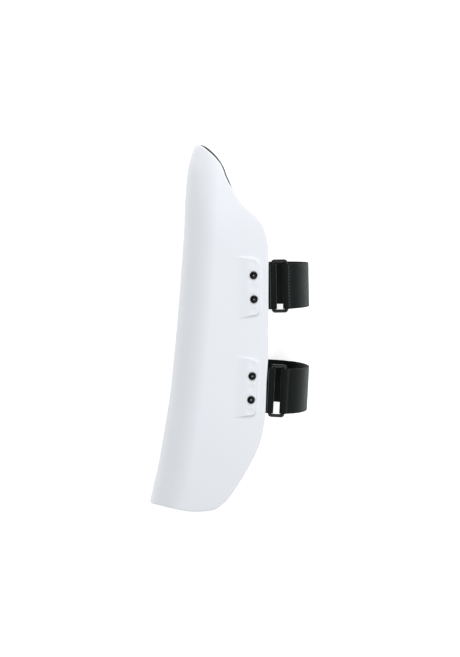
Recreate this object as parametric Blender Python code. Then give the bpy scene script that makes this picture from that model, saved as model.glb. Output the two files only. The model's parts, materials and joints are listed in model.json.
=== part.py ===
"""A ski shin guard with two rear straps, lying on its far flank. Metres, +Z up.

The guard is drawn in its own frame: x runs back from the knee tip, y up along the leg and z out to the flank
that carries the buckles. The empty resting_pose then lays it on the ground as it comes to rest by itself."""

import math

import bmesh
import bpy
import numpy as np
from mathutils import Vector

# Shell
GUARD_LENGTH = 0.3855  # knee tip to boot end
GUARD_WIDTH = 0.112  # over both flanks
SHELL_WALL = 0.0025
FRONT_SWEEP = 0.052  # boot end of the front line ahead of the knee tip
EDGE_REACH = 0.0749  # straight rear edges behind the knee tip
FRONT_ARC_DEPTH = 0.036  # depth in which the front turns into the flanks
FLAT_FLANK = (0.30, 0.75)  # stretch of the length where the flanks are flat and parallel
KNEE_NARROWING = 0.26  # share of the width lost at the knee tip
BOOT_NARROWING = 0.07  # share of the width lost at the boot end

# Liner
LINER_THICKNESS = 0.004
LINER_REVEAL = 0.0016  # how far the foam shows past the shell along the knee edge
LINER_CLEARANCE = 0.0006

# Raised strap panels on the flanks
PANEL_RISE = 0.0015
PANEL_STEP = 0.0018  # width of the sloping step round a panel
PANEL_INSET = 0.0088  # rear edge of the shell to the foot of the panel
PANEL_DEPTH = 0.0250
PANEL_RAMP = 0.011  # stretch at the front where the panel sinks into the flank
PANEL_HEIGHT = 0.0588  # at the rear side
PANEL_FLARE = 0.0032  # added at each end towards the front
PANEL_CORNER = 0.0045

# Rivets and the spots moulded for them
HOLE_PITCH = 0.0124
RIVET_PLACES = (1, -1)  # in pitches from the middle of the panel
CLOSED_PLACES = (2, 0, -2)
RIVET_INSET = 0.0153  # rear edge of the shell to the rivet line
SHANK_RADIUS = 0.002
HEAD_RADIUS = 0.004
HEAD_HEIGHT = 0.0016
HEAD_RIM = 0.0005
HEAD_CROWN = 0.0024  # radius of the flat crown
HEAD_DIMPLE = 0.0010
DIMPLE_DEPTH = 0.0004
FLANGE_RADIUS = 0.0036
FLANGE_THICKNESS = 0.0008
SPOT_DEPTH = 0.0005
SPOT_MARGIN = 0.0007
CLOSED_SPOT_RADIUS = 0.0026
CLOSED_SPOT_DEPTH = 0.0004

# Webbing and buckles
STRAP_WIDTH = 0.047
WEBBING = 0.0016  # thickness of one layer
LAYER_GAP = 0.0003
TAB_REACH = 0.0251  # from the rear edge forward to the riveted webbing's end
STRAP_REACH = 0.0447  # from the rear edge back to the strap's bend
LOOP_START = 0.0104  # where the strap's bend begins behind the rear edge
EYE_LENGTH = 0.0048  # stretch in which two layers open round a buckle bar
BUCKLE_BACK = 0.0117  # middle of the buckle behind the rear edge
BUCKLE_DEPTH = 0.0172
BUCKLE_BAR = 0.003
BUCKLE_BAR_CHAMFER = 0.0008
BUCKLE_CORNER = 0.0023  # radius of the bar's middle line round a corner
WINDOW_CLEARANCE = 0.0006
CLEARANCE = 0.0003

# down: place along the length; lean: degrees the top leans back; slip: webbing up from the middle of its
# rivets; fold: how far the strap's end comes back over itself from the buckle
STRAP_SITES = (
    {"name": "upper", "down": 0.3918, "lean": -1.2, "slip": 0.0011, "fold": 0.0068},
    {"name": "lower", "down": 0.6636, "lean": 2.8, "slip": -0.0013, "fold": 0.112},
)

# down, ahead: shares of GUARD_LENGTH and FRONT_SWEEP. The first row runs on past the knee tip, for the liner
FRONT_LINE = (
    (-0.008, -0.068), (0.0, 0.0), (0.0073, 0.046), (0.018, 0.083), (0.041, 0.138), (0.071, 0.193),
    (0.105, 0.225), (0.155, 0.251), (0.222, 0.269), (0.290, 0.299), (0.390, 0.356), (0.490, 0.418),
    (0.590, 0.487), (0.691, 0.567), (0.791, 0.683), (0.892, 0.815), (0.959, 0.930), (1.0, 1.0),
)
# down, behind: shares of GUARD_LENGTH and EDGE_REACH. The arch over the knee, which shell and liner share
KNEE_ARCH = (
    (0.0, 0.0), (0.0041, 0.043), (0.0130, 0.106), (0.0213, 0.158), (0.0276, 0.200), (0.0388, 0.256),
    (0.0483, 0.297), (0.0585, 0.336), (0.0775, 0.378), (0.0936, 0.411), (0.110, 0.448), (0.125, 0.491),
    (0.141, 0.537),
)
# The shell's edge from there over its flare, down the straight rear and round to the boot end
SHELL_EDGE = (
    (0.1577, 0.593), (0.1738, 0.661), (0.190, 0.758), (0.206, 0.839), (0.2226, 0.907), (0.2386, 0.949),
    (0.255, 0.970), (0.271, 0.987), (0.287, 0.997), (0.3035, 1.0), (0.35, 1.0), (0.43, 1.0), (0.563, 1.0),
    (0.65, 0.975), (0.729, 0.953), (0.773, 0.9255), (0.805, 0.888), (0.8376, 0.827), (0.870, 0.745),
    (0.9024, 0.652), (0.9349, 0.549), (0.951, 0.498), (0.967, 0.433), (0.982, 0.355), (0.992, 0.262),
    (0.9975, 0.151), (0.999, 0.009), (0.9965, -0.147), (0.9945, -0.231), (0.993, -0.367), (0.9925, -0.475),
    (0.994, -0.575), (0.9975, -0.65), (1.0, -0.694),
)
SHELL_CORNERS = (0.2386, 0.951)  # places down the edge where the surface's grid has its corners
LINER_EDGE = (
    (0.16, 0.545), (0.22, 0.600), (0.30, 0.622), (0.50, 0.622), (0.70, 0.600), (0.82, 0.535), (0.89, 0.440),
    (0.93, 0.330), (0.955, 0.180), (0.965, 0.0), (0.968, -0.25), (0.968, -0.66),
)
LINER_CORNERS = (0.0454, 0.93)

SHELL_ROWS, SHELL_COLUMNS = 34, 16  # columns on each side of the front line
LINER_ROWS, LINER_COLUMNS = 24, 12
ROW_GRADING = 1.35  # crowds the rows towards the knee tip
ROUND_SIDES = 12
SPLINE_STEPS = 12
FOOT_TOLERANCE = 0.0001  # for a balance point over an edge between two faces

HALF_WIDTH = GUARD_WIDTH / 2
ARC_GIRTH = math.pi / 2 * math.hypot(FRONT_ARC_DEPTH, HALF_WIDTH) / math.sqrt(2)
LAYER_PITCH = WEBBING + LAYER_GAP
WALL_FACE = HALF_WIDTH - SHELL_WALL
TAB_MIDDLE = WALL_FACE - CLEARANCE - WEBBING - LAYER_GAP / 2  # between the two layers of a tab
WRAP_RADIUS = BUCKLE_BAR * 0.55 + CLEARANCE + WEBBING / 2
BAR_SPACING = BUCKLE_DEPTH - BUCKLE_BAR
FRONT_BAR = BUCKLE_BACK - BAR_SPACING / 2
REAR_BAR = BUCKLE_BACK + BAR_SPACING / 2
BEND_DEPTH = STRAP_REACH - LOOP_START - WEBBING / 2 + LAYER_PITCH / 2
BAR_TURN = math.acos((REAR_BAR - LOOP_START) / BEND_DEPTH)  # angle round the strap's bend to the rear bar
HOLE_RADIUS = SHANK_RADIUS + CLEARANCE
SPOT_RADIUS = HEAD_RADIUS + SPOT_MARGIN
SPOT_FLOOR = HALF_WIDTH + PANEL_RISE - SPOT_DEPTH

# colour, roughness, metallic, kg per cubic metre
FINISHES = {
    "white_plastic": ((0.80, 0.82, 0.86, 1), 0.35, 0, 905),
    "liner_foam": ((0.035, 0.038, 0.042, 1), 0.9, 0, 90),
    "black_webbing": ((0.030, 0.034, 0.034, 1), 0.75, 0, 700),
    "buckle_plastic": ((0.012, 0.012, 0.013, 1), 0.3, 0, 1140),
    "black_rivet": ((0.010, 0.010, 0.011, 1), 0.35, 0.6, 2700),
}


# Curves


def spline(points):
    """Close-set points along a Catmull-Rom curve through the given ones."""
    given = np.array(points, float)
    ends = (2 * given[0] - given[1], 2 * given[-1] - given[-2])
    knots = np.vstack([ends[0], given, ends[1]])
    steps = np.linspace(0, 1, SPLINE_STEPS, endpoint=False)[:, None]
    spans = []
    for before, start, end, after in zip(knots, knots[1:], knots[2:], knots[3:]):
        bend = 2 * before - 5 * start + 4 * end - after
        twist = 3 * start - before - 3 * end + after
        spans.append(start + (steps * (end - before) + steps**2 * bend + steps**3 * twist) / 2)
    return np.vstack([*spans, given[-1:]])


def along(line, shares):
    """Points at the given shares of a line's length."""
    runs = np.concatenate([[0], np.cumsum(np.linalg.norm(np.diff(line, axis=0), axis=1))])
    return np.stack([np.interp(np.asarray(shares) * runs[-1], runs, column) for column in line.T], axis=-1)


def smooth_step(share):
    share = min(max(share, 0), 1)
    return share * share * (3 - 2 * share)


# The shell's surface: a flat pattern of girth and height, rolled round the leg


FRONT_POINTS = spline(FRONT_LINE)


def front_x(y):
    return -FRONT_SWEEP * np.interp(-y / GUARD_LENGTH, FRONT_POINTS[:, 0], FRONT_POINTS[:, 1])


def half_width(y):
    """Half of the shell's width at a height: full along the flat flanks, less towards both ends."""
    down = -y / GUARD_LENGTH
    towards_knee = np.clip(1 - down / FLAT_FLANK[0], 0, None)
    towards_boot = np.clip((down - FLAT_FLANK[1]) / (1 - FLAT_FLANK[1]), 0, None)
    return HALF_WIDTH * (1 - KNEE_NARROWING * towards_knee**2 - BOOT_NARROWING * towards_boot**2)


def unroll(x, y):
    """Girth from the front line to a point of the side view."""
    depth = np.clip(x - front_x(y), 0, None)
    in_arc = np.arccos(np.clip(1 - depth / FRONT_ARC_DEPTH, 0, 1)) * 2 / math.pi * ARC_GIRTH
    return np.where(depth < FRONT_ARC_DEPTH, in_arc, ARC_GIRTH + depth - FRONT_ARC_DEPTH)


def roll_up(girth, y):
    """The place in space of a point of the flat pattern; girth is negative on the far flank."""
    turn = np.minimum(np.abs(girth) / ARC_GIRTH, 1) * math.pi / 2
    straight = np.clip(np.abs(girth) - ARC_GIRTH, 0, None)
    x = front_x(y) + FRONT_ARC_DEPTH * (1 - np.cos(turn)) + straight
    return np.stack([x, y, np.sign(girth) * half_width(y) * np.sin(turn)], axis=-1)


def edge_pattern(table):
    """The edge that a table gives in side view, as a line of the flat pattern."""
    down, behind = spline(table).T
    y = -down * GUARD_LENGTH
    return np.stack([unroll(behind * EDGE_REACH, y), y], axis=1)


def sheet_pattern(edge, corners, rows, columns):
    """A grid over one half of the pattern, spread between the front line and the three sides of its edge."""
    first, second = (np.searchsorted(-edge[:, 1], down * GUARD_LENGTH) for down in corners)
    knee, rear, boot = edge[: first + 1], edge[first : second + 1], edge[second:][::-1]
    t = np.linspace(0, 1, rows + 1)[:, None, None] ** ROW_GRADING
    s = np.linspace(0, 1, columns + 1)[None, :, None]
    front = np.stack([np.zeros(2), [knee[0, 1], boot[0, 1]]], axis=1)
    top, bottom = along(knee, s[0, :, 0])[None], along(boot, s[0, :, 0])[None]
    left, right = along(front, t[:, 0, 0])[:, None], along(rear, t[:, 0, 0])[:, None]
    joined = (1 - t) * ((1 - s) * knee[0] + s * knee[-1]) + t * ((1 - s) * boot[0] + s * boot[-1])
    return (1 - t) * top + t * bottom + (1 - s) * left + s * right - joined


def rolled_sheet(name, pattern):
    """Both halves of a pattern as one open mesh round the front of the leg, facing out."""
    near = pattern[:, 1:]
    far = near[:, ::-1] * (-1, 1)
    grid = np.concatenate([far, pattern[:, :1], near], axis=1)
    points = roll_up(grid[..., 0], grid[..., 1])
    rows, columns = points.shape[:2]
    corner = [(r * columns + c) for r in range(rows - 1) for c in range(columns - 1)]
    faces = [(i, i + columns, i + columns + 1, i + 1) for i in corner]
    mesh = bpy.data.meshes.new(name)
    mesh.from_pydata(points.reshape(-1, 3).tolist(), [], faces)
    return mesh


# Objects


def finish_named(name):
    colour, roughness, metallic, _ = FINISHES[name]
    material = bpy.data.materials.get(name) or bpy.data.materials.new(name)
    material.use_nodes = True
    shader = material.node_tree.nodes["Principled BSDF"]
    shader.inputs["Base Color"].default_value = colour
    shader.inputs["Roughness"].default_value = roughness
    shader.inputs["Metallic"].default_value = metallic
    material.diffuse_color = colour
    return material


def place(name, mesh, parent, finish):
    piece = bpy.data.objects.new(name, mesh)
    piece.parent = parent
    bpy.context.scene.collection.objects.link(piece)
    mesh.materials.append(finish_named(finish))
    mesh.shade_smooth()
    mesh.set_sharp_from_angle(angle=math.radians(35))
    return piece


def helper(mesh, parent, collection):
    """A cutter or an added body that a Boolean uses: never a piece of its own."""
    tool = bpy.data.objects.new(mesh.name, mesh)
    tool.parent = parent
    tool.hide_render = True
    tool.display_type = "WIRE"
    collection.objects.link(tool)


def boolean(piece, operation, collection):
    modifier = piece.modifiers.new(collection.name, "BOOLEAN")
    modifier.operation = operation
    modifier.operand_type = "COLLECTION"
    modifier.collection = collection


def solidify(piece, thickness):
    modifier = piece.modifiers.new("wall", "SOLIDIFY")
    modifier.thickness = thickness
    modifier.offset = -1
    modifier.use_even_offset = True


def loft(name, rings, cyclic=False):
    """A closed body through rings of as many points each, capped unless it comes back to its start."""
    shape = bmesh.new()
    loops = [[shape.verts.new(point) for point in ring] for ring in rings]
    joined = zip(loops, loops[1:] + loops[:1]) if cyclic else zip(loops, loops[1:])
    for one, other in joined:
        for i in range(len(one)):
            shape.faces.new((one[i - 1], one[i], other[i], other[i - 1]))
    if not cyclic:
        shape.faces.new(loops[0])
        shape.faces.new(loops[-1])
    bmesh.ops.recalc_face_normals(shape, faces=shape.faces)
    mesh = bpy.data.meshes.new(name)
    shape.to_mesh(mesh)
    shape.free()
    return mesh


def circle(radius, z, x=0, y=0):
    angles = [2 * math.pi * i / ROUND_SIDES for i in range(ROUND_SIDES)]
    return [(x + radius * math.cos(a), y + radius * math.sin(a), z) for a in angles]


# Strap panels, holes and spots


def panel_ring(rise):
    """The panel's outline at a height over the flank: sloping sides, and a long ramp at the front."""
    grow = -rise / PANEL_RISE * PANEL_STEP
    front = -PANEL_INSET - PANEL_DEPTH + rise / PANEL_RISE * PANEL_RAMP
    flare = PANEL_FLARE * (-PANEL_INSET - front) / PANEL_DEPTH
    rear, half, corner = -PANEL_INSET + grow, PANEL_HEIGHT / 2 + grow, PANEL_CORNER + grow
    ring = [(front, half + flare)]
    for side in (1, -1):
        turns = (0, 30, 60, 90)
        for turn in turns[::-1] if side > 0 else turns:
            angle = math.radians(turn)
            x = rear - corner + corner * math.cos(angle)
            ring.append((x, side * (half - corner + corner * math.sin(angle))))
    return [*ring, (front, -half - flare)]


def panel_body(side):
    base, crown = -SHELL_WALL * 0.4, PANEL_RISE
    rings = [[(x, y, side * (HALF_WIDTH + rise)) for x, y in panel_ring(rise)] for rise in (base, crown)]
    return loft("strap_panel", rings)


def add_site_tools(site, parent, panels, spots, holes):
    """What the mould adds to and takes from both flanks at one strap."""
    for side in (1, -1):
        helper(panel_body(side), parent, panels)
        for pitches in RIVET_PLACES + CLOSED_PLACES:
            riveted = pitches in RIVET_PLACES
            radius = SPOT_RADIUS if riveted else CLOSED_SPOT_RADIUS
            floor = SPOT_FLOOR if riveted else HALF_WIDTH + PANEL_RISE - CLOSED_SPOT_DEPTH
            y = pitches * HOLE_PITCH
            rings = [circle(radius, side * z, -RIVET_INSET, y) for z in (floor, HALF_WIDTH + 4 * PANEL_RISE)]
            helper(loft("spot", rings), parent, spots)
    for pitches in RIVET_PLACES:
        y = pitches * HOLE_PITCH
        rings = [circle(HOLE_RADIUS, z, -RIVET_INSET, y) for z in (-GUARD_WIDTH, GUARD_WIDTH)]
        helper(loft("rivet_hole", rings), parent, holes)


# Webbing


def ribbon(name, line, slip):
    """Webbing laid along a line of the x-z plane, as wide as the strap."""
    line = np.array(line)
    run = np.gradient(line, axis=0)
    run /= np.linalg.norm(run, axis=1)[:, None]
    across = np.stack([-run[:, 1], run[:, 0]], axis=1) * WEBBING / 2
    top, bottom = slip + STRAP_WIDTH / 2, slip - STRAP_WIDTH / 2
    rings = []
    for (x1, z1), (x2, z2) in zip(line + across, line - across):
        rings.append([(x1, bottom, z1), (x1, top, z1), (x2, top, z2), (x2, bottom, z2)])
    return loft(name, rings)


def half_opening(distance):
    """Half of the distance between two layers, which part round a buckle bar."""
    opening = WRAP_RADIUS - LAYER_PITCH / 2
    return LAYER_PITCH / 2 + opening * smooth_step(1 - distance / EYE_LENGTH)


def tab_line():
    """From the rivets back round the front bar of the buckle and forward again."""
    steps = np.concatenate([np.linspace(-TAB_REACH, -CLEARANCE, 4), np.linspace(0, FRONT_BAR, 7)[1:-1]])
    outer = [(x, TAB_MIDDLE + half_opening(FRONT_BAR - x)) for x in steps]
    inner = [(x, 2 * TAB_MIDDLE - z) for x, z in outer[::-1]]
    turns = np.radians(np.linspace(90, -90, 9))
    wrap = [(FRONT_BAR + WRAP_RADIUS * math.cos(a), TAB_MIDDLE + WRAP_RADIUS * math.sin(a)) for a in turns]
    return [*outer, *wrap, *inner]


def strap_middle(turn):
    """Middle of the strap's two layers at an angle round its bend, and the way out from there."""
    near = TAB_MIDDLE / math.sin(BAR_TURN)
    far = WALL_FACE - CLEARANCE - WEBBING / 2 + LAYER_PITCH / 2
    across = near if turn > 0 else far
    middle = Vector((LOOP_START + BEND_DEPTH * math.cos(turn), across * math.sin(turn)))
    return middle, Vector((across * math.cos(turn), BEND_DEPTH * math.sin(turn))).normalized()


def strap_line(fold):
    """From the far rivets back round the leg to the buckle, round its rear bar and back over itself."""
    bar, outward = strap_middle(BAR_TURN)
    forward = Vector((-outward.y, outward.x))
    turns = np.radians([*range(-90, 60, 9), *np.linspace(60, math.degrees(BAR_TURN), 8)[:-1]])
    inner, outer, passed = [], [], 0
    last = bar
    for turn in turns[::-1]:
        middle, out = strap_middle(turn)
        passed += (middle - last).length
        last = middle
        half = half_opening((middle - bar).length)
        inner.append(middle - out * half)
        if passed <= fold:
            outer.append(middle + out * half)
    wrap_turns = np.radians(np.linspace(0, 180, 9))
    wrap = [bar + WRAP_RADIUS * (forward * math.sin(a) - outward * math.cos(a)) for a in wrap_turns]
    start = [(-TAB_REACH, inner[-1].y), (0, inner[-1].y)]
    return start + [tuple(p) for p in inner[::-1] + wrap + outer]


# Buckles and rivets


def buckle_mesh(name, slip):
    """A rectangular loop of chamfered bar round the window that both pieces of webbing pass through."""
    bar, cut = BUCKLE_BAR / 2, BUCKLE_BAR / 2 - BUCKLE_BAR_CHAMFER
    section = [
        (bar, cut), (cut, bar), (-cut, bar), (-bar, cut), (-bar, -cut), (-cut, -bar), (cut, -bar), (bar, -cut),
    ]
    half_x = BAR_SPACING / 2 - BUCKLE_CORNER
    half_y = STRAP_WIDTH / 2 + WINDOW_CLEARANCE + bar - BUCKLE_CORNER
    rings = []
    for quarter, (sx, sy) in enumerate(((1, 1), (-1, 1), (-1, -1), (1, -1))):
        for turn in (0, 30, 60, 90):
            angle = math.radians(quarter * 90 + turn)
            out = np.array((math.cos(angle), math.sin(angle)))
            middle = np.array((BUCKLE_BACK + sx * half_x, slip + sy * half_y))
            rings.append([(*(middle + out * (BUCKLE_CORNER + a)), TAB_MIDDLE + b) for a, b in section])
    return loft(name, rings, cyclic=True)


def rivet_mesh(name, side, webbing_face, y):
    """A domed head with a dimple, a shank, and the flange clinched behind the webbing."""
    seat = SPOT_FLOOR + CLEARANCE
    crown = seat + HEAD_HEIGHT
    flange = webbing_face - CLEARANCE
    profile = (
        (HEAD_DIMPLE * 0.8, crown - DIMPLE_DEPTH), (HEAD_DIMPLE, crown), (HEAD_CROWN, crown),
        ((HEAD_RADIUS + HEAD_CROWN) / 2, crown - (HEAD_HEIGHT - HEAD_RIM) * 0.3),
        (HEAD_RADIUS, seat + HEAD_RIM), (HEAD_RADIUS, seat), (SHANK_RADIUS, seat),
        (SHANK_RADIUS, flange), (FLANGE_RADIUS, flange), (FLANGE_RADIUS * 0.9, flange - FLANGE_THICKNESS),
    )
    return loft(name, [circle(radius, side * z, -RIVET_INSET, y) for radius, z in profile])


# Assembly


def new_collection(name):
    collection = bpy.data.collections.new(name)
    bpy.context.scene.collection.children.link(collection)
    return collection


def build_shell(parent, panels, spots, holes):
    pattern = sheet_pattern(edge_pattern(KNEE_ARCH + SHELL_EDGE), SHELL_CORNERS, SHELL_ROWS, SHELL_COLUMNS)
    shell = place("shell", rolled_sheet("shell", pattern), parent, "white_plastic")
    solidify(shell, SHELL_WALL)
    boolean(shell, "UNION", panels)
    boolean(shell, "DIFFERENCE", spots)
    boolean(shell, "DIFFERENCE", holes)
    return shell


def liner_edge():
    """The liner's edge, which stands proud of the shell's along the knee and draws in below the shoulder."""
    edge = edge_pattern(KNEE_ARCH + LINER_EDGE)
    run = np.gradient(edge, axis=0)
    outward = np.stack([-run[:, 1], run[:, 0]], axis=1) / np.linalg.norm(run, axis=1)[:, None]
    shoulder = KNEE_ARCH[-1][0]
    reveal = [LINER_REVEAL * smooth_step(4 * (1 + y / GUARD_LENGTH / shoulder)) for y in edge[:, 1]]
    edge += outward * np.array(reveal)[:, None]
    edge[0] = (0, LINER_REVEAL)
    return edge


def build_liner(parent):
    mesh = rolled_sheet("liner", sheet_pattern(liner_edge(), LINER_CORNERS, LINER_ROWS, LINER_COLUMNS))
    shift = SHELL_WALL + LINER_CLEARANCE
    moved = [vertex.co - vertex.normal * shift for vertex in mesh.vertices]
    mesh.vertices.foreach_set("co", np.array(moved).ravel())
    liner = place("liner", mesh, parent, "liner_foam")
    solidify(liner, LINER_THICKNESS)
    return liner


def build_site(site, pose, panels, spots, holes):
    """One strap with its panels' tools, tab, buckle and rivets, in the frame of the rear edge there."""
    name, slip = site["name"], site["slip"]
    y = -site["down"] * GUARD_LENGTH
    outline = spline(KNEE_ARCH + SHELL_EDGE)
    edge = bpy.data.objects.new(name + "_edge_frame", None)
    edge.parent = pose
    edge.location = (EDGE_REACH * np.interp(site["down"], *outline.T), y, 0)
    edge.rotation_euler.z = -math.radians(site["lean"])
    bpy.context.scene.collection.objects.link(edge)
    add_site_tools(site, edge, panels, spots, holes)
    tab = place(name + "_tab", ribbon("tab", tab_line(), slip), edge, "black_webbing")
    strap = place(name + "_strap", ribbon("strap", strap_line(site["fold"]), slip), edge, "black_webbing")
    for webbing in (tab, strap):
        boolean(webbing, "DIFFERENCE", holes)
    pieces = [tab, strap, place(name + "_buckle", buckle_mesh("buckle", slip), edge, "buckle_plastic")]
    near_face = TAB_MIDDLE - LAYER_PITCH / 2 - WEBBING / 2
    far_face = WALL_FACE - CLEARANCE - WEBBING
    for flank, side, face in (("near", 1, near_face), ("far", -1, far_face)):
        for number, pitches in enumerate(RIVET_PLACES, 1):
            mesh = rivet_mesh("rivet", side, face, pitches * HOLE_PITCH)
            pieces.append(place(f"{name}_{flank}_rivet_{number}", mesh, edge, "black_rivet"))
    return pieces


# Rest


def points_and_balance(pieces):
    """Every corner of the guard, and its centre of mass."""
    graph = bpy.context.evaluated_depsgraph_get()
    corners, mass, moment = [], 0, np.zeros(3)
    for piece in pieces:
        shown = piece.evaluated_get(graph)
        mesh = shown.to_mesh()
        mesh.calc_loop_triangles()
        matrix = np.array(shown.matrix_world)
        points = np.empty(len(mesh.vertices) * 3)
        mesh.vertices.foreach_get("co", points)
        points = points.reshape(-1, 3) @ matrix[:3, :3].T + matrix[:3, 3]
        triangles = np.empty(len(mesh.loop_triangles) * 3, int)
        mesh.loop_triangles.foreach_get("vertices", triangles)
        a, b, c = points[triangles.reshape(-1, 3)].transpose(1, 0, 2)
        weights = np.einsum("ij,ij->i", a, np.cross(b, c)) / 6 * FINISHES[piece.active_material.name][3]
        mass += weights.sum()
        moment += ((a + b + c) / 4 * weights[:, None]).sum(axis=0)
        corners.append(points)
        shown.to_mesh_clear()
    return np.vstack(corners), moment / mass


def steady_side(points, balance):
    """The way down on the hull's face, nearest the far flank, whose middle carries the balance point."""
    hull = bmesh.new()
    for point in points:
        hull.verts.new(point)
    bmesh.ops.convex_hull(hull, input=hull.verts)
    hull.normal_update()
    down = Vector((0, 0, 1))
    for face in hull.faces:
        corners = [vertex.co for vertex in face.verts]
        normal = face.normal
        foot = balance + normal * normal.dot(corners[0] - balance)
        turns = [(b - a).cross(foot - a).dot(normal) for a, b in zip(corners, corners[1:] + corners[:1])]
        if min(turns) > -FOOT_TOLERANCE**2 and normal.z < down.z:
            down = normal.copy()
    hull.free()
    return down


def lay_down(pose, pieces):
    """Turns the guard onto its far flank as it rests by itself, and sets it on the ground."""
    points, balance = points_and_balance(pieces)
    turn = steady_side(points, Vector(balance)).rotation_difference(Vector((0, 0, -1)))
    turned = points @ np.array(turn.to_matrix()).T
    low, high = turned.min(axis=0), turned.max(axis=0)
    pose.rotation_mode = "QUATERNION"
    pose.rotation_quaternion = turn
    pose.location = (-(low[0] + high[0]) / 2, -(low[1] + high[1]) / 2, -low[2])


def main():
    for old in list(bpy.data.objects):
        bpy.data.objects.remove(old)
    pose = bpy.data.objects.new("resting_pose", None)
    bpy.context.scene.collection.objects.link(pose)
    panels, spots, holes = (new_collection(name) for name in ("strap_panels", "moulded_spots", "rivet_holes"))
    pieces = []
    for site in STRAP_SITES:
        pieces += build_site(site, pose, panels, spots, holes)
    pieces += [build_shell(pose, panels, spots, holes), build_liner(pose)]
    bpy.context.view_layer.update()
    lay_down(pose, pieces)
    bpy.context.view_layer.update()


main()
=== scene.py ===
"""A white ski shin guard with two black straps, lying on its far flank on a pale floor.

Shapes are drawn in the guard's own frame, as in the frame's CAD part: x runs back from the knee tip,
y up along the leg and z out to the flank that carries the buckles. RESTING_POSE then lays them as the
frame's nodes lie. What belongs to one strap is drawn in the frame of the shell's rear edge there.
Metres."""

import json
import math

import bpy
import numpy as np
from mathutils import Matrix, Quaternion, Vector
from mathutils.geometry import delaunay_2d_cdt
from mathutils.kdtree import KDTree

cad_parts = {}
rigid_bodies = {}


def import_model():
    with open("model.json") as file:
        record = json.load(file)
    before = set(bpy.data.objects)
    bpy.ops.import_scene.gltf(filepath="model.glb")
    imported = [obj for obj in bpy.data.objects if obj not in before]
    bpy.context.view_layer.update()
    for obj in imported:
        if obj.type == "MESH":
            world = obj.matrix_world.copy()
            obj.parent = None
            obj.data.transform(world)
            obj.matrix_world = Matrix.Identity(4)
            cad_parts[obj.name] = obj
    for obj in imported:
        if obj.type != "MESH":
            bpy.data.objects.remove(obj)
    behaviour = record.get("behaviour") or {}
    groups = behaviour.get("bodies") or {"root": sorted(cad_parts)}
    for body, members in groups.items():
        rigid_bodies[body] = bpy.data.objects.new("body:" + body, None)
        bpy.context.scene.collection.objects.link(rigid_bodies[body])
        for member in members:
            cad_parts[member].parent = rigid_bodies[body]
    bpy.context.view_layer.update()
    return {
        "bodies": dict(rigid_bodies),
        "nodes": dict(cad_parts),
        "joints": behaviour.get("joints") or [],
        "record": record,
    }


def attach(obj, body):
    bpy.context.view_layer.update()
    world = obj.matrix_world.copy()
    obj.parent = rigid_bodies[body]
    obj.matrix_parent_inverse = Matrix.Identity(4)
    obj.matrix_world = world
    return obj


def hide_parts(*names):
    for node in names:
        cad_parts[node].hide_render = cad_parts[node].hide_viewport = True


RESTING_POSE = Matrix.LocRotScale(
    Vector((-0.034077, 0.193033, 0.053493)), Quaternion((0.999289, -0.003481, -0.037544, 0)), None)

# Shell
GUARD_LENGTH = 0.3855
HALF_WIDTH = 0.056
SHELL_WALL = 0.0025
SHELL_RIM = 0.0007  # rounding of its edges
FRONT_SWEEP = 0.052
EDGE_REACH = 0.0749
FRONT_ARC_DEPTH = 0.036
ARC_GIRTH = math.pi / 2 * math.hypot(FRONT_ARC_DEPTH, HALF_WIDTH) / math.sqrt(2)
FLAT_FLANK = (0.30, 0.75)
KNEE_NARROWING = 0.26
BOOT_NARROWING = 0.07

# Liner
LINER_THICKNESS = 0.004
LINER_RIM = 0.0012
LINER_REVEAL = 0.0016
LINER_SINK = SHELL_WALL + 0.0006  # its outer face below the shell's

# Raised strap panels, with the spots moulded in them
PANEL_RISE = 0.0015
PANEL_STEPS = (0.0019, 0.0009)  # how wide its side steps are at the bottom and at the top
STEP_CHANGE = 0.8  # share of half its height at which the rear step has come to those widths
PANEL_INSET = 0.0088
PANEL_DEPTH = 0.0250
PANEL_RAMP = 0.020
RING_RAMP = 0.011  # how far the mesh's rings step back at the panel's front
PANEL_HEIGHT = 0.0588
PANEL_FLARE = 0.0032
PANEL_CORNER = 0.0045
HOLE_PITCH = 0.0124
RIVET_PLACES = (1, -1)
CLOSED_PLACES = (2, 0, -2)
RIVET_INSET = 0.0153
HOLE_RADIUS = 0.0023
SPOT_RADIUS = 0.0047
SPOT_DEPTH = 0.0005
SPOT_WALL = 0.0002  # half of the width over which a spot's wall goes down
CLOSED_SPOT_RADIUS = 0.0026
CLOSED_SPOT_DEPTH = 0.0002
CLOSED_SPOT_WALL = 0.0004
SPOT_INNER = 0.7  # where the mesh's innermost line in a spot runs, as a share of its radius

# Rivets
SHANK_RADIUS = 0.002
HEAD_RADIUS = 0.004
HEAD_HEIGHT = 0.0016
HEAD_RIM = 0.0005
HEAD_ROUNDING = 0.00012
DOME_ANGLES = (0, 8, 20, 32, 44, 56, 68, 79, 90)
HEAD_DIMPLE = 0.0011
DIMPLE_DEPTH = 0.0005
PIN_RADIUS = 0.00055  # the pin's end that shows in the dimple
FLANGE_RADIUS = 0.0036
FLANGE_THICKNESS = 0.0008
FLANGE_ROUNDING = 0.00015  # towards the webbing
CLINCH_ROUNDING = 0.0002  # towards the leg
# out, down: shares of PIN_RADIUS and DIMPLE_DEPTH
PIN_END = ((0.5, 0.3), (0.85, 0.4), (1, 0.65), (1, 1))
# out, down: shares of HEAD_DIMPLE and DIMPLE_DEPTH
DIMPLE_FLOOR = (0.88, 0.9)

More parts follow.
